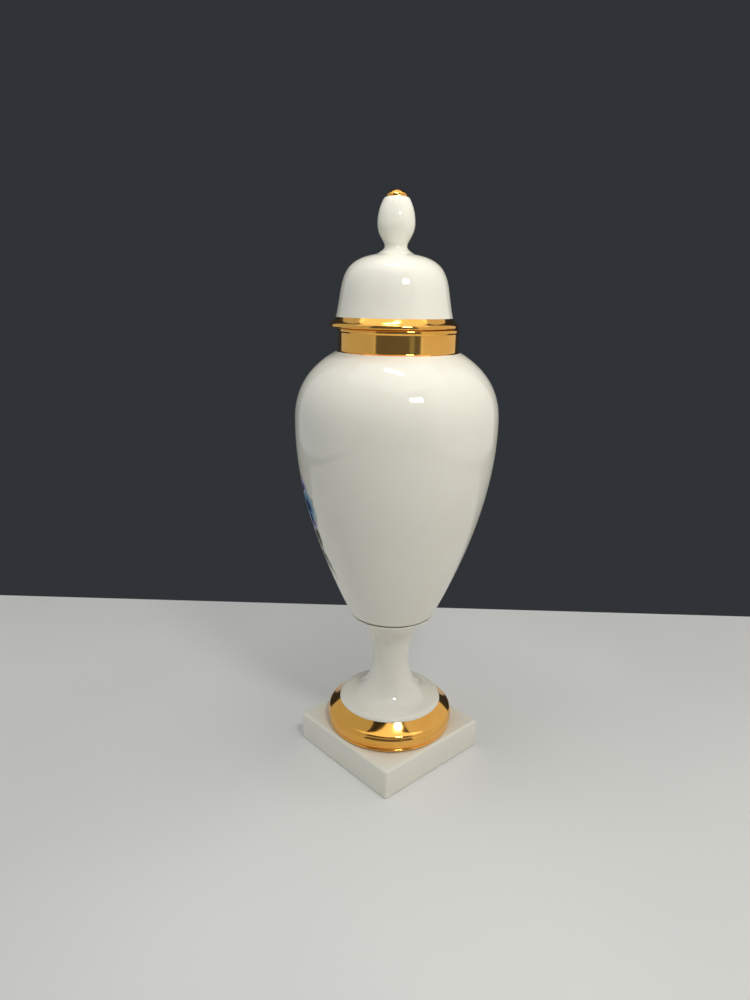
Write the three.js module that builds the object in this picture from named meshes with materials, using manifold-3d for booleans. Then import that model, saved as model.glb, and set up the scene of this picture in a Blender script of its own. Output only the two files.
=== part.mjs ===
// A lidded porcelain vase on a round pedestal and a square plinth.
//
// Millimetres, +Z up. The origin is the middle of the plinth's underside, the plinth's sides
// run along X and Y, and the vase's painted front faces -Y.
//
// The plinth, the pedestal and the vessel are three hollow castings. One threaded rod down the
// middle, with a nut, a steel washer and a soft washer at each end, clamps them together. The
// lid is a fourth casting that only rests in the vessel's mouth and lifts off.

import * as THREE from "three";
import { mergeVertices } from "three/addons/utils/BufferGeometryUtils.js";
import Module from "manifold-3d";

const wasm = await Module();
wasm.setup();

// Faces round a full turn, and straight steps along each curve of an outline.
const CASTING_FACETS = 48;
const HARDWARE_FACETS = 24;
const CURVE_STEPS = 5;

// Clearance left between two pieces that rest on each other.
const REST_GAP = 0.3;

// Square plinth: an open-bottomed box whose deck carries the pedestal.
const PLINTH_SIDE = 90;
const PLINTH_HEIGHT = 20;
const PLINTH_CORNER = 2.5;
const PLINTH_EDGE = 1.2;
const PLINTH_WALL = 8;
const PLINTH_DECK = 6;

// Tie rod and the holes it passes through.
const ROD_RADIUS = 3;
const ROD_HOLE_RADIUS = 4;
const ROD_CHAMFER = 0.8;
const ROD_BELOW_NUT = 1.8;
const ROD_ABOVE_NUT = 3.5;

// Nuts and washers on the tie rod.
const NUT_ACROSS_FLATS = 10;
const NUT_HEIGHT = 5;
const HARDWARE_BORE = 3.3;
const STEEL_WASHER_RADIUS = 9;
const STEEL_WASHER_THICKNESS = 1.6;
const SOFT_WASHER_RADIUS = 10;
const SOFT_WASHER_THICKNESS = 1.5;

// Outlines are given as points of radius and height. HANDLES are the two handles of the curve
// that ends at the point named next.

// Pedestal: a trumpet-shaped stem that stands on a banded round foot and ends in a thin disc.
const FOOT_BASE_Z = PLINTH_HEIGHT + REST_GAP;
const FOOT_SEAT_RADIUS = 41;
const FOOT_SEAT_WIDTH = 4;
const FOOT_BAND_HANDLES = [44.4, 22, 44.4, 28.4];
const FOOT_CREASE = [42.9, 30.4];
const FOOT_COVE_HANDLES = [39.0, 32.4, 36.8, 35.2];
const FOOT_SHOULDER = [35.5, 38.2];
const FOOT_DOME_HANDLES = [35.1, 40.4, 32.2, 41];
const STEM_START = [28.5, 42];
const STEM_FLARE_HANDLES = [20, 44.5, 12.6, 54];
const STEM_WAIST = [12.6, 67.7];
const STEM_RISE_HANDLES = [12.6, 79, 16, 91];
const STEM_TOP = [18.6, 96];
const DISC_FLARE_HANDLES = [20.8, 100.4, 23.5, 102.6];
const DISC_RADIUS = 28.3;
const DISC_UNDERSIDE_Z = 103.2;
const DISC_EDGE = 0.4;
const PEDESTAL_TOP_Z = 104.4;

// The pedestal's hollow, from the top of the stem down to the foot ring.
const HOLLOW_CEILING_Z = 98;
const HOLLOW_TOP = [13, 97];
const HOLLOW_NARROWING_HANDLES = [11, 90, 8.2, 80];
const HOLLOW_WAIST_RADIUS = 8.2;
const HOLLOW_FLARE_HANDLES = [8.2, 52, 14, 40.5];
const HOLLOW_FLARE_END = [25, 37.6];
const HOLLOW_SHOULDER = [31.5, 35];
const HOLLOW_FOOT_Z = 27;

// Soft washer between the pedestal and the vessel.
const JOINT_WASHER_RADIUS = 26.8;
const JOINT_WASHER_THICKNESS = 0.6;

// Vessel: a tall pear shape with its belly high up, and a straight neck.
const VESSEL_BASE_Z = PEDESTAL_TOP_Z + JOINT_WASHER_THICKNESS + 2 * REST_GAP;
const VESSEL_BASE_RADIUS = 28.9;
const VESSEL_BASE_EDGE = 0.5;
const BELLY_RADIUS = 64.6;
const BELLY_Z = 235;
const VESSEL_LOWER_HANDLES = [59.4, 167.6, BELLY_RADIUS, 210.5];
const VESSEL_SHOULDER_HANDLES = [BELLY_RADIUS, 244.8, 65, 265.4];
const VESSEL_FLOOR = 6;
const NECK_RADIUS = 37.3;
const NECK_BASE_Z = 280.2;
const NECK_FILLET = [1.8, 1.2];
const LIP_RADIUS = 37.9;
const LIP_HEIGHT = 2.6;
const LIP_SLOPE = 0.6;
const MOUTH_RADIUS = 33.1;
const RIM_Z = 294.3;

// The vessel's inside, from the mouth down to the floor.
const INSIDE_RADIUS = BELLY_RADIUS - 4.5;
const INSIDE_NECK_BASE_Z = NECK_BASE_Z - 2;
const INSIDE_SHOULDER_HANDLES = [58, 262, INSIDE_RADIUS, 245];
const INSIDE_LOWER_HANDLES = [INSIDE_RADIUS, 210.5, 54.5, 169];
const INSIDE_FLOOR_RADIUS = 24;

// Lid: a rounded dome with an acorn knob, a rolled flange and a locating ring.
const FLANGE_Z = RIM_Z + REST_GAP;
const FLANGE_UNDERSIDE_RADIUS = 39;
const FLANGE_ROLL_TOP = [38.6, FLANGE_Z + 3];
const FLANGE_ROLL_HANDLES = [40.6, FLANGE_Z + 0.2, 40.6, FLANGE_ROLL_TOP[1] - 0.5];
const DOME_BASE = [35.8, 300.7];
const DOME_HANDLES = [31.3, 319.5, 35.4, 333.5];
const DOME_TOP = [11.8, 337.3];
const KNOB_FOOT_HANDLES = [8.6, 338.9, 6.8, 340.4];
const KNOB_WAIST = [6.8, 342];
const KNOB_LOWER_HANDLES = [6.8, 344.6, 11.3, 348.2];
const KNOB_WIDEST = [11.3, 354.7];
const KNOB_UPPER_HANDLES = [11.3, 361, 9.3, 366];
const KNOB_SHOULDER = [7.4, 368.8];
const KNOB_TIP_Z = 373.5;
const TIP_BASE = [6.4, 369.2];
const TIP_HANDLES = [6.4, 371.6, 3.5, KNOB_TIP_Z];

// The lid's hollow and the ring that locates it in the mouth.
const HOLLOW_TOP_Z = DOME_TOP[1] - 4.2;
const HOLLOW_DOME_HANDLES = [14, HOLLOW_TOP_Z, 27.6, 331];
const HOLLOW_DOME_BASE = [31.6, 301.7];
const LOCATING_RING_RADIUS = 29.9;
const LOCATING_RING_WALL = 4;
const LOCATING_RING_DEPTH = 8;

// The lid doesn't sit dead centre: its locating ring is 3.2 mm smaller than the mouth all round,
// and it rests almost against the wall on the +X, -Y side.
const LID_SEAT_SHIFT = [2, -2];

const PORCELAIN = { color: 0xefe8d8, roughness: 0.12, metalness: 0 };
const BARE_STEEL = { color: 0xb4b6b8, roughness: 0.4, metalness: 1 };
const RUBBER = { color: 0x26221f, roughness: 0.85, metalness: 0 };

function named(name, geometry, look) {
  const mesh = new THREE.Mesh(geometry, new THREE.MeshStandardMaterial(look));
  mesh.name = name;
  return mesh;
}

// A closed outline in the plane of radius and height. A step of two numbers is a straight line
// to that point, and one of six is a Bezier curve: two handles and the end point.
function outline(start, ...steps) {
  const path = new THREE.Path().moveTo(...start);
  for (const step of steps) {
    if (step.length === 2) path.lineTo(...step);
    else path.bezierCurveTo(...step);
  }
  return path.closePath().getPoints(CURVE_STEPS);
}

// An outline turned round the Z axis.
function turned(points, facets = CASTING_FACETS) {
  return new THREE.LatheGeometry(points, facets).rotateX(Math.PI / 2);
}

function ring(outerRadius, innerRadius, bottom, thickness, facets = HARDWARE_FACETS) {
  const points = outline(
    [innerRadius, bottom],
    [outerRadius, bottom],
    [outerRadius, bottom + thickness],
    [innerRadius, bottom + thickness],
  );
  return turned(points, facets);
}

function cylinder(radius, bottom, top, facets = HARDWARE_FACETS) {
  return new THREE.CylinderGeometry(radius, radius, top - bottom, facets)
    .rotateX(Math.PI / 2)
    .translate(0, 0, (bottom + top) / 2);
}

function solid(geometry) {
  const bare = geometry.clone().deleteAttribute("normal").deleteAttribute("uv");
  const merged = mergeVertices(bare);
  return new wasm.Manifold(
    new wasm.Mesh({
      numProp: 3,
      vertProperties: merged.attributes.position.array,
      triVerts: new Uint32Array(merged.index.array),
    }),
  );
}

function geometryOf(manifold) {
  const { vertProperties, triVerts } = manifold.getMesh();
  const geometry = new THREE.BufferGeometry();
  geometry.setAttribute("position", new THREE.BufferAttribute(vertProperties, 3));
  geometry.setIndex(new THREE.BufferAttribute(triVerts, 1));
  geometry.computeVertexNormals();
  return geometry;
}

// A square with rounded corners, centred on the origin.
function roundedSquare(side, corner) {
  const half = side / 2;
  const shape = new THREE.Shape().moveTo(half, corner - half);
  for (const [x, y, turn] of [[1, 1, 0], [-1, 1, 1], [-1, -1, 2], [1, -1, 3]]) {
    const centreX = x * (half - corner);
    const centreY = y * (half - corner);
    shape.absarc(centreX, centreY, corner, (turn * Math.PI) / 2, ((turn + 1) * Math.PI) / 2);
  }
  return shape.closePath();
}

function roundedSlab(side, corner, bottom, height, edge) {
  const shape = roundedSquare(side - 2 * edge, corner);
  return new THREE.ExtrudeGeometry(shape, {
    depth: height - 2 * edge,
    curveSegments: 3,
    bevelEnabled: edge > 0,
    bevelThickness: edge,
    bevelSize: edge,
    bevelSegments: 2,
  }).translate(0, 0, bottom + edge);
}

function plinth() {
  const block = solid(roundedSlab(PLINTH_SIDE, PLINTH_CORNER, 0, PLINTH_HEIGHT, PLINTH_EDGE));
  const recessDepth = PLINTH_HEIGHT - PLINTH_DECK;
  const recessSide = PLINTH_SIDE - 2 * PLINTH_WALL;
  const recess = roundedSlab(recessSide, 2 * PLINTH_CORNER, -recessDepth, 2 * recessDepth, 0);
  const hole = cylinder(ROD_HOLE_RADIUS, 0, 2 * PLINTH_HEIGHT);
  return geometryOf(block.subtract(solid(recess)).subtract(solid(hole)));
}

// The pedestal is hollow from its foot ring up to the disc that carries the vessel.
function pedestal() {
  const footInside = FOOT_SEAT_RADIUS - FOOT_SEAT_WIDTH;
  const points = outline(
    [footInside, FOOT_BASE_Z],
    [FOOT_SEAT_RADIUS, FOOT_BASE_Z],
    [...FOOT_BAND_HANDLES, ...FOOT_CREASE],
    [...FOOT_COVE_HANDLES, ...FOOT_SHOULDER],
    [...FOOT_DOME_HANDLES, ...STEM_START],
    [...STEM_FLARE_HANDLES, ...STEM_WAIST],
    [...STEM_RISE_HANDLES, ...STEM_TOP],
    [...DISC_FLARE_HANDLES, DISC_RADIUS - DISC_EDGE, DISC_UNDERSIDE_Z],
    [DISC_RADIUS, DISC_UNDERSIDE_Z + DISC_EDGE],
    [DISC_RADIUS, PEDESTAL_TOP_Z],
    [ROD_HOLE_RADIUS, PEDESTAL_TOP_Z],
    [ROD_HOLE_RADIUS, HOLLOW_CEILING_Z],
    HOLLOW_TOP,
    [...HOLLOW_NARROWING_HANDLES, HOLLOW_WAIST_RADIUS, STEM_WAIST[1]],
    [...HOLLOW_FLARE_HANDLES, ...HOLLOW_FLARE_END],
    HOLLOW_SHOULDER,
    [footInside, HOLLOW_FOOT_Z],
  );
  return turned(points);
}

function vessel() {
  const floorZ = VESSEL_BASE_Z + VESSEL_FLOOR;
  const points = outline(
    [ROD_HOLE_RADIUS, VESSEL_BASE_Z],
    [VESSEL_BASE_RADIUS - VESSEL_BASE_EDGE, VESSEL_BASE_Z],
    [VESSEL_BASE_RADIUS, VESSEL_BASE_Z + VESSEL_BASE_EDGE],
    [...VESSEL_LOWER_HANDLES, BELLY_RADIUS, BELLY_Z],
    [...VESSEL_SHOULDER_HANDLES, NECK_RADIUS + NECK_FILLET[0], NECK_BASE_Z],
    [NECK_RADIUS, NECK_BASE_Z + NECK_FILLET[1]],
    [NECK_RADIUS, RIM_Z - LIP_HEIGHT],
    [LIP_RADIUS, RIM_Z - LIP_HEIGHT / 2],
    [LIP_RADIUS - LIP_SLOPE, RIM_Z],
    [MOUTH_RADIUS, RIM_Z],
    [MOUTH_RADIUS, INSIDE_NECK_BASE_Z],
    [...INSIDE_SHOULDER_HANDLES, INSIDE_RADIUS, BELLY_Z],
    [...INSIDE_LOWER_HANDLES, INSIDE_FLOOR_RADIUS, floorZ],
    [ROD_HOLE_RADIUS, floorZ],
  );
  return turned(points);
}

function lid() {
  const ringInside = LOCATING_RING_RADIUS - LOCATING_RING_WALL;
  const ringBottom = FLANGE_Z - LOCATING_RING_DEPTH;
  const points = outline(
    [ringInside, ringBottom],
    [LOCATING_RING_RADIUS, ringBottom],
    [LOCATING_RING_RADIUS, FLANGE_Z],
    [FLANGE_UNDERSIDE_RADIUS, FLANGE_Z],
    [...FLANGE_ROLL_HANDLES, ...FLANGE_ROLL_TOP],
    DOME_BASE,
    [...DOME_HANDLES, ...DOME_TOP],
    [...KNOB_FOOT_HANDLES, ...KNOB_WAIST],
    [...KNOB_LOWER_HANDLES, ...KNOB_WIDEST],
    [...KNOB_UPPER_HANDLES, ...KNOB_SHOULDER],
    TIP_BASE,
    [...TIP_HANDLES, 0, KNOB_TIP_Z],
    [0, HOLLOW_TOP_Z],
    [...HOLLOW_DOME_HANDLES, ...HOLLOW_DOME_BASE],
    [ringInside, FLANGE_Z + 1],
  );
  return turned(points);
}

function nut(bottom) {
  const shape = new THREE.Shape();
  const cornerRadius = NUT_ACROSS_FLATS / Math.sqrt(3);
  for (let corner = 0; corner < 6; corner++) {
    const angle = (corner * Math.PI) / 3;
    const point = [cornerRadius * Math.cos(angle), cornerRadius * Math.sin(angle)];
    if (corner === 0) shape.moveTo(...point);
    else shape.lineTo(...point);
  }
  shape.closePath();
  shape.holes.push(new THREE.Path().absarc(0, 0, HARDWARE_BORE, 0, 2 * Math.PI, true));
  const settings = { depth: NUT_HEIGHT, bevelEnabled: false, curveSegments: HARDWARE_FACETS / 2 };
  return new THREE.ExtrudeGeometry(shape, settings).translate(0, 0, bottom);
}

function tieRod(bottom, top) {
  const points = outline(
    [0, bottom],
    [ROD_RADIUS - ROD_CHAMFER, bottom],
    [ROD_RADIUS, bottom + ROD_CHAMFER],
    [ROD_RADIUS, top - ROD_CHAMFER],
    [ROD_RADIUS - ROD_CHAMFER, top],
    [0, top],
  );
  return turned(points, HARDWARE_FACETS);
}

// The soft washer, steel washer and nut at one end of the rod, in that order away from the
// casting whose face is at faceZ. Returns the far side of the nut.
function clampEnd(group, prefix, faceZ, direction) {
  let near = faceZ;
  const stack = (height) => {
    const start = near + direction * REST_GAP;
    near = start + direction * height;
    return Math.min(start, near);
  };
  const softBottom = stack(SOFT_WASHER_THICKNESS);
  const soft = ring(SOFT_WASHER_RADIUS, HARDWARE_BORE, softBottom, SOFT_WASHER_THICKNESS);
  group.add(named(prefix + "_soft_washer", soft, RUBBER));
  const steelBottom = stack(STEEL_WASHER_THICKNESS);
  const steel = ring(STEEL_WASHER_RADIUS, HARDWARE_BORE, steelBottom, STEEL_WASHER_THICKNESS);
  group.add(named(prefix + "_steel_washer", steel, BARE_STEEL));
  group.add(named(prefix + "_nut", nut(stack(NUT_HEIGHT)), BARE_STEEL));
  return near;
}

const vase = new THREE.Group();
vase.add(named("plinth", plinth(), PORCELAIN));
vase.add(named("pedestal", pedestal(), PORCELAIN));
vase.add(named("vessel", vessel(), PORCELAIN));

const jointWasherZ = PEDESTAL_TOP_Z + REST_GAP;
const jointWasher = ring(
  JOINT_WASHER_RADIUS,
  ROD_HOLE_RADIUS,
  jointWasherZ,
  JOINT_WASHER_THICKNESS,
  CASTING_FACETS,
);
vase.add(named("joint_washer", jointWasher, RUBBER));

const upperNutTop = clampEnd(vase, "upper", VESSEL_BASE_Z + VESSEL_FLOOR, 1);
const lowerNutBottom = clampEnd(vase, "lower", PLINTH_HEIGHT - PLINTH_DECK, -1);
const rod = tieRod(lowerNutBottom - ROD_BELOW_NUT, upperNutTop + ROD_ABOVE_NUT);
vase.add(named("tie_rod", rod, BARE_STEEL));

const lidMesh = named("lid", lid(), PORCELAIN);
lidMesh.position.set(...LID_SEAT_SHIFT, 0);
vase.add(lidMesh);

export default vase;
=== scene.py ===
"""A lidded porcelain vase with gilt bands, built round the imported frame.

The four castings are turned or swept from fine outlines and replace the faceted nodes, the
hardware of the tie rod gets threads and chamfers, and a flower spray is painted on the front.
Outlines are in millimetres of radius and height, measured from the boxes of the CAD nodes.
"""

import math

import bpy
import numpy as np
from mathutils import Matrix, Vector


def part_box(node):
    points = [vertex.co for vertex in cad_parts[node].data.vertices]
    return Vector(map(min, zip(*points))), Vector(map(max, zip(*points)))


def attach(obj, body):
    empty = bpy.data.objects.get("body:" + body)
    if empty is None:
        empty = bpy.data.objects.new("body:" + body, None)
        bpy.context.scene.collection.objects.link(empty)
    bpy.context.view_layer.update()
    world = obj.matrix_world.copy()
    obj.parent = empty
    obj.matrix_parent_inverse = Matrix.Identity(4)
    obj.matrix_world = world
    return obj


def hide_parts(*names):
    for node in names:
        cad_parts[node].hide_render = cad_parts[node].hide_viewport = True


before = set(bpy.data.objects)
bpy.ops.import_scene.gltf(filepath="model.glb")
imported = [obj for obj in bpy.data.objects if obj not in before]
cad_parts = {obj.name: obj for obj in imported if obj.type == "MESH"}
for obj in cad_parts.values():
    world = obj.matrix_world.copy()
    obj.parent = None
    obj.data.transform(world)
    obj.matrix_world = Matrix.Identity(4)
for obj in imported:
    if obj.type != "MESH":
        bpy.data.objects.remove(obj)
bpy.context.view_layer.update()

MM = 0.001
TURN_STEPS = 256
CURVE_STEPS = 24

# A softened corner starts at most this share of the way along its sides, and has this many steps
# and a support point a little further out on each side.
SOFT_REACH = 0.4
SOFT_STEPS = 5
SUPPORT_REACH = 0.2

# The camera stands in front of one corner of the plinth, level with the lid, and looks down.
CAMERA_BEARING = math.radians(46.03)
CAMERA_DISTANCE = 444.36 * MM
CAMERA_HEIGHT = 312.27 * MM
CAMERA_PITCH = math.radians(16.172)
CAMERA_YAW = math.radians(1.657)
CAMERA_ROLL = math.radians(0.939)
CAMERA_LENS = 25.14
CAMERA_SENSOR = 36


# ---------------------------------------------------------------- where the castings are

def node_box(name):
    """A CAD node's lowest and highest corners, in millimetres."""
    low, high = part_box(name)
    return [value / MM for value in low], [value / MM for value in high]


PLINTH_LOW, PLINTH_HIGH = node_box("plinth")
PEDESTAL_LOW, PEDESTAL_HIGH = node_box("pedestal")
VESSEL_LOW, VESSEL_HIGH = node_box("vessel")
LID_LOW, LID_HIGH = node_box("lid")

PLINTH_HALF = PLINTH_HIGH[0]
PLINTH_TOP = PLINTH_HIGH[2]
FOOT_BASE = PEDESTAL_LOW[2]
PEDESTAL_TOP = PEDESTAL_HIGH[2]
VESSEL_BASE = VESSEL_LOW[2]
BELLY_RADIUS = VESSEL_HIGH[0]
RIM = VESSEL_HIGH[2]
LID_BOTTOM = LID_LOW[2]
LID_TIP = LID_HIGH[2]
LID_CENTRE = ((LID_LOW[0] + LID_HIGH[0]) / 2, (LID_LOW[1] + LID_HIGH[1]) / 2)
FLANGE_RADIUS = (LID_HIGH[0] - LID_LOW[0]) / 2


# ---------------------------------------------------------------- outlines

def bezier(start, handle_a, handle_b, end, steps=CURVE_STEPS):
    """The points of a Bezier curve after its start."""
    t = np.linspace(0, 1, steps + 1)[1:, None]
    a, b, c, d = (np.array(point, float) for point in (start, handle_a, handle_b, end))
    return (1 - t) ** 3 * a + 3 * (1 - t) ** 2 * t * b + 3 * (1 - t) * t * t * c + t ** 3 * d


def trace(start, steps):
    """The points of an outline, the paint of each stretch, and how far each point is softened.

    A step is (paint, soften, r, z) for a line, or (paint, soften, six numbers) for a Bezier
    curve. soften rounds the corner at the end of the step.
    """
    points, paints, soften = [np.array(start, float)], [], [0.0]
    for paint, radius, *numbers in steps:
        if len(numbers) == 2:
            new = [np.array(numbers, float)]
        else:
            new = bezier(points[-1], numbers[0:2], numbers[2:4], numbers[4:6])
        for point in new:
            points.append(point)
            paints.append(paint)
            soften.append(0.0)
        soften[-1] = radius
    return points, paints, soften


def softened(points, paints, soften, closed):
    """The outline with its marked corners rounded, and a support point beside each rounding."""
    if closed:
        soften[0] = soften.pop()
        points.pop()
    count = len(points)
    out_points, out_paints = [], []
    for i, (point, radius) in enumerate(zip(points, soften)):
        paint_after = paints[i % len(paints)]
        if radius == 0:
            out_points.append(point)
            out_paints.append(paint_after)
            continue
        before = points[i - 1] - point
        after = points[(i + 1) % count] - point
        room = SOFT_REACH * min(np.linalg.norm(before), np.linalg.norm(after))
        reach = min(radius, room)
        start = point + before / np.linalg.norm(before) * reach
        end = point + after / np.linalg.norm(after) * reach
        paint_before = paints[i - 1]
        out_points.append(start + (start - point) * SUPPORT_REACH)
        out_paints.append(paint_before)
        for step in range(SOFT_STEPS + 1):
            t = step / SOFT_STEPS
            out_points.append((1 - t) ** 2 * start + 2 * t * (1 - t) * point + t * t * end)
            out_paints.append(paint_before if t < 0.5 else paint_after)
        out_points.append(end + (end - point) * SUPPORT_REACH)
        out_paints.append(paint_after)
    return out_points, out_paints


# ---------------------------------------------------------------- meshes

def add_mesh(name, vertices, faces, paints, materials, smooth=True):
    """A mesh object from points in millimetres, with one paint for each face."""
    mesh = bpy.data.meshes.new(name)
    mesh.from_pydata([tuple(MM * value for value in v) for v in vertices], [], faces)
    for material in materials:
        mesh.materials.append(material)
    mesh.polygons.foreach_set("material_index", paints)
    mesh.polygons.foreach_set("use_smooth", [smooth] * len(faces))
    mesh.validate()
    mesh.update()
    piece = bpy.data.objects.new(name, mesh)
    bpy.context.scene.collection.objects.link(piece)
    return piece


def turned(name, start, steps, materials, centre=(0, 0), turn_steps=TURN_STEPS):
    """A piece turned round a vertical axis. The outline closes on itself or ends on the axis."""
    points, paints, soften = trace(start, steps)
    closed = np.allclose(points[0], points[-1])
    points, paints = softened(points, paints, soften, closed)
    vertices, rings = [], []
    for radius, height in points:
        if radius < 1e-6:
            rings.append([len(vertices)] * turn_steps)
            vertices.append((centre[0], centre[1], height))
            continue
        rings.append(list(range(len(vertices), len(vertices) + turn_steps)))
        for j in range(turn_steps):
            angle = 2 * math.pi * j / turn_steps
            x = centre[0] + radius * math.cos(angle)
            y = centre[1] + radius * math.sin(angle)
            vertices.append((x, y, height))
    faces, face_paints = [], []
    for i in range(len(rings) if closed else len(rings) - 1):
        low, high = rings[i], rings[(i + 1) % len(rings)]
        for j in range(turn_steps):
            k = (j + 1) % turn_steps
            corners = list(dict.fromkeys((low[j], low[k], high[k], high[j])))
            if len(corners) > 2:
                faces.append(corners)
                face_paints.append(paints[i])
    return add_mesh(name, vertices, faces, face_paints, materials)


def square_ring(half, corner, height, quarter_steps=24):
    """Points round a square with rounded corners, half on the corners and half on the sides."""
    points = []
    arc_steps = quarter_steps // 2
    for quarter in range(4):
        angle = quarter * math.pi / 2
        centre_x, centre_y = half - corner, half - corner
        local = []
        for step in range(arc_steps + 1):
            a = step / arc_steps * math.pi / 2
            local.append((centre_x + corner * math.cos(a), centre_y + corner * math.sin(a)))
        side = quarter_steps - arc_steps
        for step in range(1, side):
            t = 0.5 - 0.5 * math.cos(math.pi * step / side)
            local.append((centre_x - 2 * centre_x * t, half))
        for x, y in local:
            cos_a, sin_a = math.cos(angle), math.sin(angle)
            points.append((x * cos_a - y * sin_a, x * sin_a + y * cos_a, height))
    return points


def round_ring(radius, height, like):
    """Points round a circle, each in the direction of its fellow in another ring."""
    points = []
    for x, y, _ in like:
        distance = math.hypot(x, y)
        points.append((radius * x / distance, radius * y / distance, height))
    return points


def ringed(name, rings, paints, materials, smooth=True):
    """A piece swept through a closed loop of rings with equal numbers of points."""
    size = len(rings[0])
    vertices = [point for ring in rings for point in ring]
    faces, face_paints = [], []
    for i in range(len(rings)):
        low, high = i * size, (i + 1) % len(rings) * size
        for j in range(size):
            k = (j + 1) % size
            faces.append((low + j, low + k, high + k, high + j))
            face_paints.append(paints[i])
    return add_mesh(name, vertices, faces, face_paints, materials, smooth)


# ---------------------------------------------------------------- materials

def new_material(name):
    """A material with its Principled node, ready for the texture nodes of its look."""
    material = bpy.data.materials.new(name)
    material.use_nodes = True
    nodes = material.node_tree.nodes
    return material, nodes, material.node_tree.links, nodes["Principled BSDF"]


def noise(nodes, links, vector, scale, detail=3.0):
    """Noise between 0 and 1. A higher scale is finer, and more detail is rougher."""
    node = nodes.new("ShaderNodeTexNoise")
    node.inputs["Scale"].default_value = scale
    node.inputs["Detail"].default_value = detail
    node.inputs["Roughness"].default_value = 0.5
    links.new(vector, node.inputs["Vector"])
    return node.outputs["Fac"]


def ramp(nodes, links, factor, stops):
    """A colour ramp of (position, grey or colour) stops."""
    node = nodes.new("ShaderNodeValToRGB")
    elements = node.color_ramp.elements
    while len(elements) < len(stops):
        elements.new(0.5)
    for element, (position, value) in zip(elements, stops):
        element.position = position
        colour = value if isinstance(value, tuple) else (value, value, value)
        element.color = (*colour, 1)
    links.new(factor, node.inputs["Fac"])
    return node.outputs["Color"]


def bump(nodes, links, height, strength, distance, shader):
    """Let a height of up to so many metres disturb the shader's surface."""
    node = nodes.new("ShaderNodeBump")
    node.inputs["Strength"].default_value = strength
    node.inputs["Distance"].default_value = distance
    links.new(height, node.inputs["Height"])
    links.new(node.outputs["Normal"], shader.inputs["Normal"])


def object_coordinates(nodes):
    """Places on the piece, in metres."""
    return nodes.new("ShaderNodeTexCoord").outputs["Object"]


def porcelain_material():
    """Warm ivory body under a clear gloss glaze, with faint clouds of colour in it."""
    material, nodes, links, shader = new_material("porcelain_glaze")
    place = object_coordinates(nodes)
    clouds = noise(nodes, links, place, 22)
    colour = ramp(nodes, links, clouds, [(0.3, (0.88, 0.845, 0.74)), (0.7, (0.91, 0.875, 0.775))])
    links.new(colour, shader.inputs["Base Color"])
    gloss = noise(nodes, links, place, 60)
    links.new(ramp(nodes, links, gloss, [(0.3, 0.05), (0.7, 0.08)]), shader.inputs["Roughness"])
    shader.inputs["IOR"].default_value = 1.52
    shader.inputs["Subsurface Weight"].default_value = 0.12
    shader.inputs["Subsurface Radius"].default_value = (0.004, 0.003, 0.002)
    shader.inputs["Subsurface Scale"].default_value = 1.0
    ripple = noise(nodes, links, place, 90, detail=1.0)
    bump(nodes, links, ripple, 0.08, 0.0004, shader)
    return material


def gilt_material():
    """Burnished gold over the glaze, with fine lines left by the banding brush."""
    material, nodes, links, shader = new_material("gilding")
    place = object_coordinates(nodes)
    wear = noise(nodes, links, place, 35)
    colour = ramp(nodes, links, wear, [(0.3, (0.92, 0.46, 0.09)), (0.7, (1.0, 0.53, 0.125))])
    links.new(colour, shader.inputs["Base Color"])
    shader.inputs["Metallic"].default_value = 1.0
    gloss = noise(nodes, links, place, 120)
    links.new(ramp(nodes, links, gloss, [(0.3, 0.06), (0.7, 0.14)]), shader.inputs["Roughness"])
    stretch = nodes.new("ShaderNodeMapping")
    stretch.inputs["Scale"].default_value = (0.05, 0.05, 1.0)
    links.new(place, stretch.inputs["Vector"])
    lines = noise(nodes, links, stretch.outputs["Vector"], 900, detail=2.0)
    bump(nodes, links, lines, 0.06, 0.0002, shader)
    return material


def bisque_material():
    """Bare fired clay where the glaze was wiped off, slightly stained."""
    material, nodes, links, shader = new_material("bare_bisque")
    place = object_coordinates(nodes)
    stain = noise(nodes, links, place, 45, detail=6.0)
    colour = ramp(nodes, links, stain, [(0.35, (0.62, 0.57, 0.48)), (0.6, (0.80, 0.77, 0.70))])
    links.new(colour, shader.inputs["Base Color"])
    shader.inputs["Roughness"].default_value = 0.85
    grain = noise(nodes, links, place, 1800, detail=2.0)
    bump(nodes, links, grain, 0.35, 0.0002, shader)
    return material


def rubber_material():
    """Black washer rubber, dusty in patches."""
    material, nodes, links, shader = new_material("washer_rubber")
    place = object_coordinates(nodes)
    dust = noise(nodes, links, place, 180, detail=5.0)
    colour = ramp(nodes, links, dust, [(0.4, (0.018, 0.016, 0.015)), (0.75, (0.06, 0.055, 0.05))])
    links.new(colour, shader.inputs["Base Color"])
    links.new(ramp(nodes, links, dust, [(0.3, 0.6), (0.8, 0.9)]), shader.inputs["Roughness"])
    bump(nodes, links, noise(nodes, links, place, 2500), 0.2, 0.0001, shader)
    return material


def steel_material():
    """Dull zinc plating with a faint spangle."""
    material, nodes, links, shader = new_material("zinc_plated_steel")
    place = object_coordinates(nodes)
    spangle = noise(nodes, links, place, 260, detail=4.0)
    colour = ramp(nodes, links, spangle, [(0.35, (0.46, 0.46, 0.45)), (0.7, (0.66, 0.66, 0.64))])
    links.new(colour, shader.inputs["Base Color"])
    shader.inputs["Metallic"].default_value = 1.0
    links.new(ramp(nodes, links, spangle, [(0.3, 0.28), (0.8, 0.5)]), shader.inputs["Roughness"])
    bump(nodes, links, noise(nodes, links, place, 1500), 0.15, 0.0001, shader)
    return material


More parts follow.
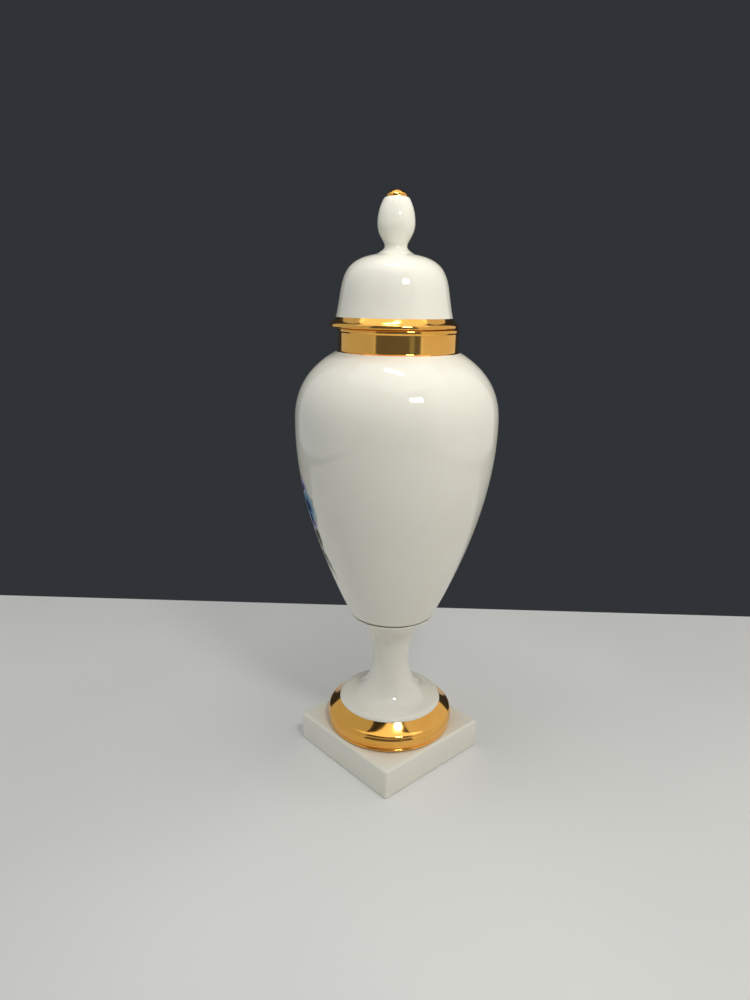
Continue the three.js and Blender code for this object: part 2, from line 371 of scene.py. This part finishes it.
def enamel_material(name, stops):
    """Overglaze enamel, its colour washed out along each brush stroke and streaked by the hairs."""
    material, nodes, links, shader = new_material(name)
    stroke = nodes.new("ShaderNodeUVMap")
    hairs = nodes.new("ShaderNodeMapping")
    hairs.inputs["Scale"].default_value = (1.2, 9.0, 1.0)
    links.new(stroke.outputs["UV"], hairs.inputs["Vector"])
    streaks = noise(nodes, links, hairs.outputs["Vector"], 2.5)
    along = nodes.new("ShaderNodeSeparateXYZ")
    links.new(stroke.outputs["UV"], along.inputs["Vector"])
    wash = nodes.new("ShaderNodeMath")
    wash.operation = "MULTIPLY_ADD"
    links.new(streaks, wash.inputs[0])
    wash.inputs[1].default_value = 0.5
    links.new(along.outputs["X"], wash.inputs[2])
    links.new(ramp(nodes, links, wash.outputs["Value"], stops), shader.inputs["Base Color"])
    links.new(ramp(nodes, links, streaks, [(0.3, 0.10), (0.7, 0.24)]), shader.inputs["Roughness"])
    bump(nodes, links, streaks, 0.12, 0.0002, shader)
    return material


PORCELAIN = porcelain_material()
GILT = gilt_material()
BISQUE = bisque_material()
RUBBER = rubber_material()
STEEL = steel_material()

GLAZED, GILDED, BARE = 0, 1, 2
CASTING_MATERIALS = [PORCELAIN, GILT, BISQUE]


# ---------------------------------------------------------------- plinth

ROD_HOLE = 4.0
PLINTH_CORNER = 1.9
PLINTH_SOFT_EDGE = 1.8
PLINTH_FOOT_EDGE = 0.5
PLINTH_WALL = 8.0
PLINTH_DECK = 6.0
TIGHTEST_CORNER = 0.4
RECESS_CORNER = 2 * PLINTH_CORNER

# The recess widens at its mouth, and its ceiling curves into its walls.
RECESS_MOUTH = 0.5
RECESS_CURVE = 1.5


def make_plinth():
    """A square box, open below, swept ring by ring from the rod hole over the outside and back."""
    ceiling = PLINTH_TOP - PLINTH_DECK
    inside = PLINTH_HALF - PLINTH_WALL
    like = square_ring(PLINTH_HALF, PLINTH_CORNER, 0)
    rings, paints = [], []

    def square(half, corner, height, paint):
        rings.append(square_ring(half, corner, height))
        paints.append(paint)

    def circle(radius, height, paint):
        rings.append(round_ring(radius, height, like))
        paints.append(paint)

    def rounded(edge, height, way):
        """The rings round an outer edge of the block, up at way 1 and down at way -1."""
        for step in range(SOFT_STEPS + 1):
            angle = step / SOFT_STEPS * math.pi / 2
            if way < 0:
                angle = math.pi / 2 - angle
            inset = edge * (1 - math.sin(angle))
            drop = edge * (1 - math.cos(angle))
            corner = max(PLINTH_CORNER - inset, TIGHTEST_CORNER)
            square(PLINTH_HALF - inset, corner, height - way * drop, GLAZED)

    circle(ROD_HOLE, ceiling, BARE)
    circle(ROD_HOLE, PLINTH_TOP, GLAZED)
    square(PLINTH_HALF - PLINTH_SOFT_EDGE - 1.0, PLINTH_CORNER, PLINTH_TOP, GLAZED)
    rounded(PLINTH_SOFT_EDGE, PLINTH_TOP, 1)
    rounded(PLINTH_FOOT_EDGE, 0, -1)
    square(PLINTH_HALF - PLINTH_FOOT_EDGE - 0.3, PLINTH_CORNER, 0, BARE)
    square(inside + RECESS_MOUTH, RECESS_CORNER, 0, BARE)
    square(inside, RECESS_CORNER, RECESS_MOUTH, GLAZED)
    square(inside, RECESS_CORNER, ceiling - RECESS_CURVE, GLAZED)
    square(inside - RECESS_CURVE / 3, RECESS_CORNER, ceiling - 0.4, GLAZED)
    square(inside - RECESS_CURVE, RECESS_CORNER, ceiling, GLAZED)
    piece = ringed("plinth_casting", rings, paints, CASTING_MATERIALS)
    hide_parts("plinth")
    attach(piece, "vase")


# ---------------------------------------------------------------- pedestal

SEAT_RADIUS = 41
SEAT_WIDTH = 4
BEAD_RADIUS = 43.3
BEAD_TOP = FOOT_BASE + 2.0
BEAD_END = (SEAT_RADIUS + 1, BEAD_TOP)
CREASE_RADIUS = 42.9
CREASE_Z = FOOT_BASE + 10.1
LIP_INSIDE = (42.2, CREASE_Z + 1.9)
SHOULDER = (35.5, FOOT_BASE + 17.9)
DOME_END = (28.5, 42)
WAIST_RADIUS = 12.6
WAIST_Z = FOOT_BASE + 47.4
STEM_TOP = (18.6, PEDESTAL_TOP - 8.4)
DISC_RADIUS = 28.3
DISC_EDGE = 1.1
PEDESTAL_BORE_RADIUS = 8.2
PEDESTAL_CEILING = (13, 97)
PEDESTAL_FLARE = (25, 37.6)


def make_pedestal():
    """A hollow trumpet: up the outside from the seat, over the disc, and down the hollow."""
    inside = SEAT_RADIUS - SEAT_WIDTH
    start = (inside, FOOT_BASE)
    steps = [
        # The seat, the bead above it, and the lower gilt band up to its crease.
        (BARE, 0, SEAT_RADIUS, FOOT_BASE),
        (GILDED, 0, SEAT_RADIUS + 0.8, FOOT_BASE),
        (GILDED, 0, BEAD_RADIUS, FOOT_BASE + 0.1, BEAD_RADIUS, BEAD_TOP - 0.1, *BEAD_END),
        (GILDED, 0.2, 43.8, BEAD_TOP + 0.4, 44.6, CREASE_Z - 1.8, CREASE_RADIUS, CREASE_Z),
        # The lip above the crease, and the gilt slope up to the glaze.
        (GILDED, 0, 43.4, CREASE_Z + 0.5, 43.1, CREASE_Z + 1.3, *LIP_INSIDE),
        (GILDED, 0.3, 40.1, 33.8, 37.6, 36.1, *SHOULDER),
        # The dome of the foot, the stem and the disc.
        (GLAZED, 0, 35.1, 40.4, 32.2, 41, *DOME_END),
        (GLAZED, 0, 20, 44.5, WAIST_RADIUS, 54, WAIST_RADIUS, WAIST_Z),
        (GLAZED, 0, WAIST_RADIUS, 79, 16, 91, *STEM_TOP),
        (GLAZED, 0.3, 20.8, 100.4, 23.5, 102.6, DISC_RADIUS - 0.3, PEDESTAL_TOP - DISC_EDGE),
        (GLAZED, 0.4, DISC_RADIUS, PEDESTAL_TOP),
        # The rod hole and the hollow.
        (BARE, 0, ROD_HOLE, PEDESTAL_TOP),
        (BARE, 0, ROD_HOLE, PEDESTAL_CEILING[1] + 1),
        (GLAZED, 0.5, *PEDESTAL_CEILING),
        (GLAZED, 0, 11, 90, PEDESTAL_BORE_RADIUS, 80, PEDESTAL_BORE_RADIUS, WAIST_Z),
        (GLAZED, 0, PEDESTAL_BORE_RADIUS, 52, 14, 40.5, *PEDESTAL_FLARE),
        (GLAZED, 1.0, 31.5, 35),
        (GLAZED, 1.0, inside, 27),
        (GLAZED, 0.4, *start),
    ]
    piece = turned("pedestal_casting", start, steps, CASTING_MATERIALS)
    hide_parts("pedestal")
    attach(piece, "vase")


# ---------------------------------------------------------------- vessel

BELLY_Z = 235
NECK_RADIUS = 37.3
NECK_BASE = 280.2
NECK_FILLET_RADIUS = NECK_RADIUS + 1.2
LIP_RADIUS = 37.9
LIP_HEIGHT = 2.6
MOUTH_RADIUS = 33.1
VESSEL_WALL = 4.5
VESSEL_FLOOR = 6
VESSEL_FLOOR_RADIUS = 24
GILT_RIM_INSIDE = 35.2

# The outline of the belly from the base up: its start, two handles and its end.
BELLY_CURVE = ((28.9, VESSEL_BASE), (59.4, 167.6), (BELLY_RADIUS, 210.5), (BELLY_RADIUS, BELLY_Z))


def make_vessel():
    """The pear: out along the base, up the outside, over the rim, and down the inside."""
    inside = BELLY_RADIUS - VESSEL_WALL
    floor = VESSEL_BASE + VESSEL_FLOOR
    neck_start = (NECK_RADIUS, NECK_BASE + 2)
    start = (ROD_HOLE, VESSEL_BASE)
    steps = [
        # The base, the belly and the shoulder.
        (BARE, 0.5, *BELLY_CURVE[0]),
        (GLAZED, 0, *BELLY_CURVE[1], *BELLY_CURVE[2], *BELLY_CURVE[3]),
        (GLAZED, 0.5, BELLY_RADIUS, 244.8, 65, 265.4, NECK_FILLET_RADIUS, NECK_BASE),
        # The gilt neck and its lip.
        (GILDED, 0, NECK_RADIUS, NECK_BASE + 0.3, NECK_RADIUS, NECK_BASE + 0.8, *neck_start),
        (GILDED, 0.4, NECK_RADIUS, RIM - LIP_HEIGHT),
        (GILDED, 0.8, LIP_RADIUS, RIM - 1.8),
        (GILDED, 0.8, LIP_RADIUS - 0.2, RIM),
        (GILDED, 0, GILT_RIM_INSIDE, RIM),
        # The mouth and the hollow.
        (GLAZED, 0.8, MOUTH_RADIUS, RIM),
        (GLAZED, 1.5, MOUTH_RADIUS, NECK_BASE - 2),
        (GLAZED, 0, 58, 262, inside, 245, inside, BELLY_Z),
        (GLAZED, 1.5, inside, 210.5, 54.5, 169, VESSEL_FLOOR_RADIUS, floor),
        (GLAZED, 0.4, ROD_HOLE, floor),
        (BARE, 0, *start),
    ]
    piece = turned("vessel_casting", start, steps, CASTING_MATERIALS)
    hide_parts("vessel")
    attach(piece, "vase")


# ---------------------------------------------------------------- lid

FLANGE = RIM + 0.3
FLANGE_BARE_RADIUS = 35.6
FLANGE_ROLL_START = 38.6
FLANGE_ROLL_TOP = (38.9, FLANGE + 3)
RING_RADIUS = 29.9
RING_WALL = 4
LID_DOME_BASE = (36.0, 300.7)
LID_DOME_TOP = (11.8, 337.3)
KNOB_WAIST_RADIUS = 6.8
KNOB_WAIST_Z = 342
KNOB_RADIUS = 11.3
KNOB_WIDEST_Z = 354.7
KNOB_SHOULDER = (7.4, 368.8)
TIP_RADIUS = 6.4
TIP_Z = 369.2
LID_HOLLOW_TOP = LID_TIP - 40.4
LID_HOLLOW_BASE = (31.6, 301.7)


def make_lid():
    """The lid: down the hollow and round the locating ring, then up the dome and the knob."""
    ring_inside = RING_RADIUS - RING_WALL
    start = (0, LID_HOLLOW_TOP)
    steps = [
        # The hollow and the locating ring.
        (GLAZED, 0, 14, LID_HOLLOW_TOP, 27.6, 331, *LID_HOLLOW_BASE),
        (GLAZED, 1.0, ring_inside, FLANGE + 1),
        (GLAZED, 0.6, ring_inside, LID_BOTTOM),
        (BARE, 0.6, RING_RADIUS, LID_BOTTOM),
        (BARE, 0.4, RING_RADIUS, FLANGE),
        # The flange: its underside, its roll and its cone.
        (BARE, 0, FLANGE_BARE_RADIUS, FLANGE),
        (GILDED, 0, FLANGE_ROLL_START, FLANGE),
        (GILDED, 0, 39.7, FLANGE, FLANGE_RADIUS, FLANGE + 0.4, FLANGE_RADIUS, FLANGE + 1.2),
        (GILDED, 0.2, FLANGE_RADIUS, FLANGE + 2.1, 39.6, FLANGE + 2.8, *FLANGE_ROLL_TOP),
        (GILDED, 0.3, 38.2, FLANGE + 3.5, 36.9, FLANGE + 5, *LID_DOME_BASE),
        # The dome, the knob and its gilt tip.
        (GLAZED, 0.3, 31.3, 319.5, 35.4, 333.5, *LID_DOME_TOP),
        (GLAZED, 0, 8.6, 338.9, KNOB_WAIST_RADIUS, 340.4, KNOB_WAIST_RADIUS, KNOB_WAIST_Z),
        (GLAZED, 0, KNOB_WAIST_RADIUS, 344.6, KNOB_RADIUS, 348.2, KNOB_RADIUS, KNOB_WIDEST_Z),
        (GLAZED, 0.5, KNOB_RADIUS, 361, 9.3, 366, *KNOB_SHOULDER),
        (GLAZED, 0, TIP_RADIUS, TIP_Z),
        (GILDED, 0, TIP_RADIUS, 371.6, 3.6, LID_TIP, 0, LID_TIP),
    ]
    piece = turned("lid_casting", start, steps, CASTING_MATERIALS, centre=LID_CENTRE)
    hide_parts("lid")
    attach(piece, "lid")


# ---------------------------------------------------------------- painted flowers

ENAMEL_PROUD = 0.06
ENAMEL_DEPTH = 0.2
PETAL_ROWS = 12
PETAL_COLUMNS = 8
STEM_ROWS = 40
STEM_WIDTH = 0.9
FRONT = -math.pi / 2

# The stems bow down on their way to the foot of the spray: a bend this share of the way round,
# and this far below the middle height.
SPRAY_FOOT = (2, 136)
STEM_BEND = 0.55
STEM_SAG = 8

# The leaves along each stem: how far along it, and the direction of each in degrees.
STEM_LEAVES = ((0.3, -125), (0.5, -60), (0.7, -125))
STEM_LEAF_LENGTH = 13
STEM_LEAF_WIDTH = 4.5

# How full a petal, a stem leaf and an end leaf are, and the size of a bloom's dark middle.
PETAL_FULLNESS = 1.5
STEM_LEAF_FULLNESS = 0.9
END_LEAF_FULLNESS = 0.8
MIDDLE_SHARE = 0.4

# Strokes lie in thin layers, in millimetres, so that those of one bloom don't share a surface.
FIRST_BLOOM_LAYER = 0.02
BLOOM_LAYER = 0.01
LEAF_LAYER = 0.01
END_LEAF_LAYER = 0.003
PETAL_LAYER = 0.002
MIDDLE_LAYER = 0.015
BELLY_OUTLINE = np.vstack([BELLY_CURVE[0], bezier(*BELLY_CURVE, steps=60)])

# Each enamel: its colour ramp from the start of a stroke to its end.
ENAMELS = {
    "blue": [(0.25, (0.03, 0.07, 0.25)), (0.6, (0.10, 0.24, 0.45)), (1.0, (0.42, 0.58, 0.66))],
    "violet": [(0.25, (0.12, 0.09, 0.42)), (0.7, (0.25, 0.20, 0.52)), (1.0, (0.56, 0.50, 0.68))],
    "rose": [(0.25, (0.45, 0.10, 0.20)), (0.7, (0.72, 0.32, 0.40)), (1.0, (0.86, 0.66, 0.64))],
    "navy": [(0.3, (0.008, 0.012, 0.06)), (1.0, (0.03, 0.06, 0.20))],
    "leaf": [(0.3, (0.07, 0.08, 0.05)), (0.75, (0.16, 0.18, 0.12)), (1.0, (0.30, 0.33, 0.25))],
}

# Each bloom: degrees from the middle of the front, height, petals, petal length and colour.
BLOOMS = [
    (-60, 190, 5, 8, "violet"),
    (-64, 176, 6, 10, "blue"),
    (-42, 184, 5, 11, "rose"),
    (-20, 176, 6, 12, "blue"),
    (-14, 198, 5, 9, "violet"),
    (6, 184, 5, 14, "rose"),
    (28, 174, 5, 11, "violet"),
    (27, 194, 6, 10, "blue"),
    (46, 183, 5, 10, "rose"),
    (64, 195, 5, 8, "violet"),
    (69, 177, 5, 8, "violet"),
    (68, 185, 6, 12, "blue"),
]

# Each leaf at the ends of the spray: degrees, height, length, width and direction in degrees.
END_LEAVES = [
    (71, 172, 20, 8, -90),
    (69, 155, 20, 6, -66),
    (52, 160, 20, 6, -120),
    (-66, 164, 19, 6, -88),
    (-54, 156, 20, 7, -60),
]


def on_belly(degrees, height, across, up, lift):
    """A point on the belly: an angle from the front and a height, then a step in millimetres."""
    z = height + up
    radius = np.interp(z, BELLY_OUTLINE[:, 1], BELLY_OUTLINE[:, 0])
    angle = FRONT + math.radians(degrees) + across / radius
    return (radius + lift) * math.cos(angle), (radius + lift) * math.sin(angle), z


def petal(length, width, turn, fullness):
    """The rows of a petal or leaf from its base outwards. It's widest nearer the tip when full."""
    cos_t, sin_t = math.cos(turn), math.sin(turn)
    rows = []
    for i in range(PETAL_ROWS + 1):
        t = i / PETAL_ROWS
        half = width / 2 * math.sin(math.pi * t ** fullness) + 0.1
        row = []
        for j in range(PETAL_COLUMNS + 1):
            side = 2 * j / PETAL_COLUMNS - 1
            along = length * t * (1 - 0.1 * side * side)
            across = half * side
            row.append((along * cos_t - across * sin_t, along * sin_t + across * cos_t))
        rows.append(row)
    return rows


def flower(petals, length, turn):
    """The petals of one flower, all from one middle."""
    width = 2.3 * length * math.sin(math.pi / petals)
    turns = [turn + 2 * math.pi * k / petals for k in range(petals)]
    return [petal(length, width, petal_turn, PETAL_FULLNESS) for petal_turn in turns]


def stem_path(degrees, height, t):
    """A place along a stem, from its bloom at 0 to the foot of the spray at 1."""
    bend_degrees = STEM_BEND * degrees
    bend_height = 0.5 * (SPRAY_FOOT[1] + height) - STEM_SAG
    angle = (1 - t) ** 2 * degrees + 2 * t * (1 - t) * bend_degrees + t * t * SPRAY_FOOT[0]
    z = (1 - t) ** 2 * height + 2 * t * (1 - t) * bend_height + t * t * SPRAY_FOOT[1]
    return angle, z


def stem(degrees, height):
    """The rows of a thin stem as steps from the middle of the front."""
    rows = []
    for i in range(STEM_ROWS + 1):
        angle, z = stem_path(degrees, height, i / STEM_ROWS)
        radius = np.interp(z, BELLY_OUTLINE[:, 1], BELLY_OUTLINE[:, 0])
        across = math.radians(angle) * radius
        rows.append([(across, z + STEM_WIDTH / 2), (across, z - STEM_WIDTH / 2)])
    return rows


def grid_rim(rows, columns):
    """The points round the edge of a grid, in the direction that its faces turn."""
    last = (rows - 1) * columns
    rim = [i * columns for i in range(rows)]
    rim += [last + j for j in range(1, columns)]
    rim += [last + columns - 1 - i * columns for i in range(1, rows)]
    rim += [j for j in range(columns - 2, 0, -1)]
    return rim


def paint_strokes(name, material, strokes):
    """Thin closed patches on the belly as one piece, with a UV map that runs along each stroke.

    A stroke is (degrees, height, lift, rows).
    """
    vertices, uvs, tops, others = [], [], [], []
    for degrees, height, lift, rows in strokes:
        base, columns = len(vertices), len(rows[0])
        count = columns * len(rows)
        for level in (ENAMEL_PROUD + lift, -ENAMEL_DEPTH):
            for i, row in enumerate(rows):
                for j, (across, up) in enumerate(row):
                    vertices.append(on_belly(degrees, height, across, up, level))
                    uvs.append((i / (len(rows) - 1), j / (columns - 1)))
        for i in range(len(rows) - 1):
            for j in range(columns - 1):
                a = base + i * columns + j
                top = (a, a + columns, a + columns + 1, a + 1)
                tops.append(top)
                others.append(tuple(count + corner for corner in reversed(top)))
        rim = [base + corner for corner in grid_rim(len(rows), columns)]
        for a, b in zip(rim, rim[1:] + rim[:1]):
            others.append((b, a, a + count, b + count))
    faces = tops + others
    piece = add_mesh(name, vertices, faces, [0] * len(faces), [material])
    mesh = piece.data
    mesh.polygons.foreach_set("use_smooth", [True] * len(tops) + [False] * len(others))
    corners = np.zeros(len(mesh.loops), int)
    mesh.loops.foreach_get("vertex_index", corners)
    stroke_map = mesh.uv_layers.new(name="strokes")
    stroke_map.data.foreach_set("uv", np.array(uvs)[corners].ravel())
    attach(piece, "vase")


def stem_leaves(degrees, height):
    """The strokes of the leaves along one stem."""
    strokes = []
    for k, (t, direction) in enumerate(STEM_LEAVES):
        angle, z = stem_path(degrees, height, t)
        rows = petal(STEM_LEAF_LENGTH, STEM_LEAF_WIDTH, math.radians(direction), STEM_LEAF_FULLNESS)
        strokes.append((angle, z, LEAF_LAYER * (k + 1), rows))
    return strokes


def make_spray():
    """Blooms on curved stems that meet at the foot of the spray, with leaves along them."""
    strokes = {colour: [] for colour in ENAMELS}
    for number, (degrees, height, petals, length, colour) in enumerate(BLOOMS):
        layer = FIRST_BLOOM_LAYER + BLOOM_LAYER * number
        strokes["leaf"].append((0, 0, 0, stem(degrees, height)))
        strokes["leaf"] += stem_leaves(degrees, height)
        for k, rows in enumerate(flower(petals, length, number)):
            strokes[colour].append((degrees, height, layer + PETAL_LAYER * k, rows))
        for k, rows in enumerate(flower(petals, MIDDLE_SHARE * length, number)):
            lift = layer + MIDDLE_LAYER + PETAL_LAYER * k
            strokes["navy"].append((degrees, height, lift, rows))
    for number, (degrees, height, length, width, direction) in enumerate(END_LEAVES):
        rows = petal(length, width, math.radians(direction), END_LEAF_FULLNESS)
        lift = LEAF_LAYER + END_LEAF_LAYER * number
        strokes["leaf"].append((degrees, height, lift, rows))
    for colour, stops in ENAMELS.items():
        enamel = enamel_material(colour + "_enamel", stops)
        paint_strokes("painted_" + colour, enamel, strokes[colour])


# ---------------------------------------------------------------- hardware

HARDWARE_TURN_STEPS = 96
WASHER_BORE = 3.3
JOINT_BORE = 4.0
THREAD_PITCH = 1.0
THREAD_DEPTH = 0.55
THREAD_LENGTH = 26
THREAD_STEPS = 8
THREAD_TURN_STEPS = 32
THREAD_END_CHAMFER = 0.8
NUT_CHAMFER_CIRCLE = 0.95
NUT_CHAMFER_ANGLE = math.radians(30)
NUT_COUNTERSINK = 0.5
JOINT_WASHER_EDGE = 0.12
SOFT_WASHER_EDGE = 0.35
STEEL_WASHER_EDGE = 0.25


def finish_part(piece, node):
    """Show a part of the hardware in place of its CAD node."""
    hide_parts(node)
    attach(piece, "vase")


def make_washer(node, bore, edge, material):
    """A flat ring with softened edges."""
    low, high = node_box(node)
    outer, bottom, top = high[0], low[2], high[2]
    start = (bore, bottom)
    steps = [
        (0, edge, outer, bottom),
        (0, edge, outer, top),
        (0, edge, bore, top),
        (0, edge, *start),
    ]
    piece = turned(node + "_part", start, steps, [material], turn_steps=HARDWARE_TURN_STEPS)
    finish_part(piece, node)


def hex_ring(across_flats, corner_on_x, radius_limit, height):
    """Points round a hexagon, cut off by a circle."""
    points = []
    for step in range(HARDWARE_TURN_STEPS):
        angle = 2 * math.pi * step / HARDWARE_TURN_STEPS
        from_corner = angle if corner_on_x else angle + math.pi / 6
        from_flat = from_corner % (math.pi / 3) - math.pi / 6
        radius = min(across_flats / 2 / math.cos(from_flat), radius_limit)
        points.append((radius * math.cos(angle), radius * math.sin(angle), height))
    return points


def make_nut(node):
    """A hexagon nut, chamfered at both faces and countersunk at its bore."""
    low, high = node_box(node)
    size_x, size_y = high[0] - low[0], high[1] - low[1]
    flats, corners = min(size_x, size_y), max(size_x, size_y)
    circle = NUT_CHAMFER_CIRCLE * flats / 2
    chamfer = (corners / 2 - circle) * math.tan(NUT_CHAMFER_ANGLE)
    bottom, top = low[2], high[2]
    outline = [
        (WASHER_BORE, bottom + NUT_COUNTERSINK),
        (WASHER_BORE + NUT_COUNTERSINK, bottom),
        (circle, bottom),
        (corners / 2, bottom + chamfer),
        (corners / 2, top - chamfer),
        (circle, top),
        (WASHER_BORE + NUT_COUNTERSINK, top),
        (WASHER_BORE, top - NUT_COUNTERSINK),
    ]
    rings = [hex_ring(flats, size_x > size_y, radius, height) for radius, height in outline]
    piece = ringed(node + "_part", rings, [0] * len(rings), [STEEL], smooth=False)
    finish_part(piece, node)


def thread_ring(height, end_gap, radius):
    """The points round the rod at one height, this far from the nearer end."""
    run_out = min(1, (THREAD_LENGTH - end_gap) / THREAD_PITCH)
    points = []
    for j in range(THREAD_TURN_STEPS):
        angle = 2 * math.pi * j / THREAD_TURN_STEPS
        phase = (height / THREAD_PITCH - j / THREAD_TURN_STEPS) % 1
        groove = THREAD_DEPTH * (1 - abs(2 * phase - 1))
        size = min(radius - groove * run_out, radius - THREAD_END_CHAMFER + end_gap)
        points.append((size * math.cos(angle), size * math.sin(angle), height))
    return points


def make_rod():
    """The tie rod: a stud with a rolled thread at each end and a plain shank between."""
    low, high = node_box("tie_rod")
    radius, bottom, top = high[0], low[2], high[2]
    step = THREAD_PITCH / THREAD_STEPS
    threaded = int(THREAD_LENGTH / step)
    heights = [bottom + step * i for i in range(threaded + 1)]
    heights += [top - step * i for i in range(threaded, -1, -1)]
    vertices = []
    for height in heights:
        vertices += thread_ring(height, min(height - bottom, top - height), radius)
    last = len(vertices) - THREAD_TURN_STEPS
    vertices += [(0, 0, bottom), (0, 0, top)]
    faces = []
    for j in range(THREAD_TURN_STEPS):
        k = (j + 1) % THREAD_TURN_STEPS
        for low_ring in range(0, last, THREAD_TURN_STEPS):
            high_ring = low_ring + THREAD_TURN_STEPS
            faces.append((low_ring + j, low_ring + k, high_ring + k, high_ring + j))
        faces.append((k, j, len(vertices) - 2))
        faces.append((last + j, last + k, len(vertices) - 1))
    piece = add_mesh("tie_rod_part", vertices, faces, [0] * len(faces), [STEEL])
    finish_part(piece, "tie_rod")


def make_hardware():
    """The washer at the joint, the washers and nut at each end of the rod, and the rod."""
    make_washer("joint_washer", JOINT_BORE, JOINT_WASHER_EDGE, RUBBER)
    for end in ("upper", "lower"):
        make_washer(end + "_soft_washer", WASHER_BORE, SOFT_WASHER_EDGE, RUBBER)
        make_washer(end + "_steel_washer", WASHER_BORE, STEEL_WASHER_EDGE, STEEL)
        make_nut(end + "_nut")
    make_rod()


# ---------------------------------------------------------------- stage, lights and camera

FLOOR_BACK = 232
FLOOR_FRONT = -760
FLOOR_SIDE = 620
FLOOR_THICKNESS = 6
FLOOR_GAP = 0.3
VIEW_TURN = CAMERA_BEARING + math.pi / 2


def make_floor():
    """A pale board under the vase, square to the camera."""
    material, nodes, links, shader = new_material("studio_floor")
    place = object_coordinates(nodes)
    haze = noise(nodes, links, place, 3, detail=2.0)
    colour = ramp(nodes, links, haze, [(0.35, (0.80, 0.80, 0.79)), (0.65, (0.86, 0.855, 0.84))])
    links.new(colour, shader.inputs["Base Color"])
    shader.inputs["Roughness"].default_value = 0.45
    shader.inputs["Specular IOR Level"].default_value = 0.3
    top, bottom = -FLOOR_GAP, -FLOOR_THICKNESS
    corners = [
        (side * FLOOR_SIDE, depth, height)
        for height in (bottom, top)
        for side, depth in ((-1, FLOOR_FRONT), (1, FLOOR_FRONT), (1, FLOOR_BACK), (-1, FLOOR_BACK))
    ]
    sides = [(i, (i + 1) % 4, 4 + (i + 1) % 4, 4 + i) for i in range(4)]
    faces = [(3, 2, 1, 0), (4, 5, 6, 7), *sides]
    floor = add_mesh("studio_floor", corners, faces, [0] * 6, [material], smooth=False)
    floor.rotation_euler = (0, 0, VIEW_TURN)


def camera_axes():
    """The camera's place, and its right, up and forward directions."""
    bearing = Matrix.Rotation(VIEW_TURN, 3, "Z")
    cos_p, sin_p = math.cos(CAMERA_PITCH), math.sin(CAMERA_PITCH)
    forward = Vector((-math.sin(CAMERA_YAW) * cos_p, math.cos(CAMERA_YAW) * cos_p, -sin_p))
    level = Vector((math.cos(CAMERA_YAW), math.sin(CAMERA_YAW), 0))
    above = level.cross(forward)
    right = level * math.cos(CAMERA_ROLL) + above * math.sin(CAMERA_ROLL)
    up = above * math.cos(CAMERA_ROLL) - level * math.sin(CAMERA_ROLL)
    place = Vector((0, -CAMERA_DISTANCE, CAMERA_HEIGHT))
    return bearing @ place, bearing @ right, bearing @ up, bearing @ forward


def make_camera():
    """The camera at the bearing and the tilt given at the top."""
    place, right, up, forward = camera_axes()
    data = bpy.data.cameras.new("camera")
    data.sensor_width = CAMERA_SENSOR
    data.lens = CAMERA_LENS
    data.clip_start = 0.01
    camera = bpy.data.objects.new("camera", data)
    bpy.context.scene.collection.objects.link(camera)
    turn = Matrix((right, up, -forward)).transposed().to_4x4()
    camera.matrix_world = Matrix.Translation(place) @ turn
    bpy.context.scene.camera = camera


def add_light(name, place, target, size, radiance, colour=(1, 1, 1)):
    """A soft rectangle of light. Places are in the camera's left-right and depth directions.

    The power is worked out from the radiance, so a panel looks equally bright at any size.
    """
    turn = Matrix.Rotation(VIEW_TURN, 3, "Z")
    place, target = turn @ Vector(place), turn @ Vector(target)
    data = bpy.data.lights.new(name, "AREA")
    data.shape = "RECTANGLE"
    data.size, data.size_y = size
    data.energy = radiance * math.pi * size[0] * size[1]
    data.color = colour
    light = bpy.data.objects.new(name, data)
    bpy.context.scene.collection.objects.link(light)
    facing = (target - place).to_track_quat("-Z", "Y").to_matrix().to_4x4()
    light.matrix_world = Matrix.Translation(place) @ facing
    light.visible_camera = False


TENT_HALF = 0.72
TENT_FRONT = 0.81
TENT_TOP = 1.47
ROOM_SIZE = (2.4, 1.6)
ROOM_DEPTH = 1.1
CURTAIN_COLOUR = (0.030, 0.033, 0.038, 1)


def make_tent():
    """The white sides and top of the tent, and the dim room beyond its open front."""
    middle = (TENT_HALF - TENT_FRONT) / 2
    depth = TENT_HALF + TENT_FRONT
    half_up = TENT_TOP / 2
    centre = (0, middle, half_up)
    wall = (depth, TENT_TOP)
    roof = (2 * TENT_HALF, depth)
    add_light("left_wall", (-TENT_HALF, middle, half_up), centre, wall, 0.48, (0.93, 0.99, 1))
    add_light("right_wall", (TENT_HALF, middle, half_up), centre, wall, 0.63, (1, 0.985, 0.94))
    add_light("ceiling", (0, middle, TENT_TOP), (0, middle, 0), roof, 1.16, (1, 0.985, 0.94))
    add_light("dim_room", (0, -ROOM_DEPTH, 0.6), (0, 0, 0.6), ROOM_SIZE, 0.125, (0.7, 0.8, 1))


def make_lamps():
    """Two small bright lamps over the vase, and a faint window in the room."""
    add_light("top_lamp", (-0.01, -0.045, 0.49), (0, -0.03, 0.2), (0.068, 0.02), 15)
    add_light("front_lamp", (0.13, -0.30, 0.50), (0, 0, 0.2), (0.085, 0.042), 56, (1, 1, 0.94))
    add_light("room_window", (0.32, -0.68, 0.27), (0, 0, 0.27), (0.11, 0.34), 0.16, (0.8, 1, 0.95))


def make_backdrop():
    """A dark curtain all round, and colours shown as they are."""
    world = bpy.data.worlds.new("studio")
    bpy.context.scene.world = world
    world.use_nodes = True
    background = world.node_tree.nodes["Background"]
    background.inputs["Color"].default_value = CURTAIN_COLOUR
    background.inputs["Strength"].default_value = 1.0
    bpy.context.scene.view_settings.view_transform = "Standard"


make_camera()
make_plinth()
make_pedestal()
make_vessel()
make_lid()
make_spray()
make_hardware()
make_floor()
make_tent()
make_lamps()
make_backdrop()
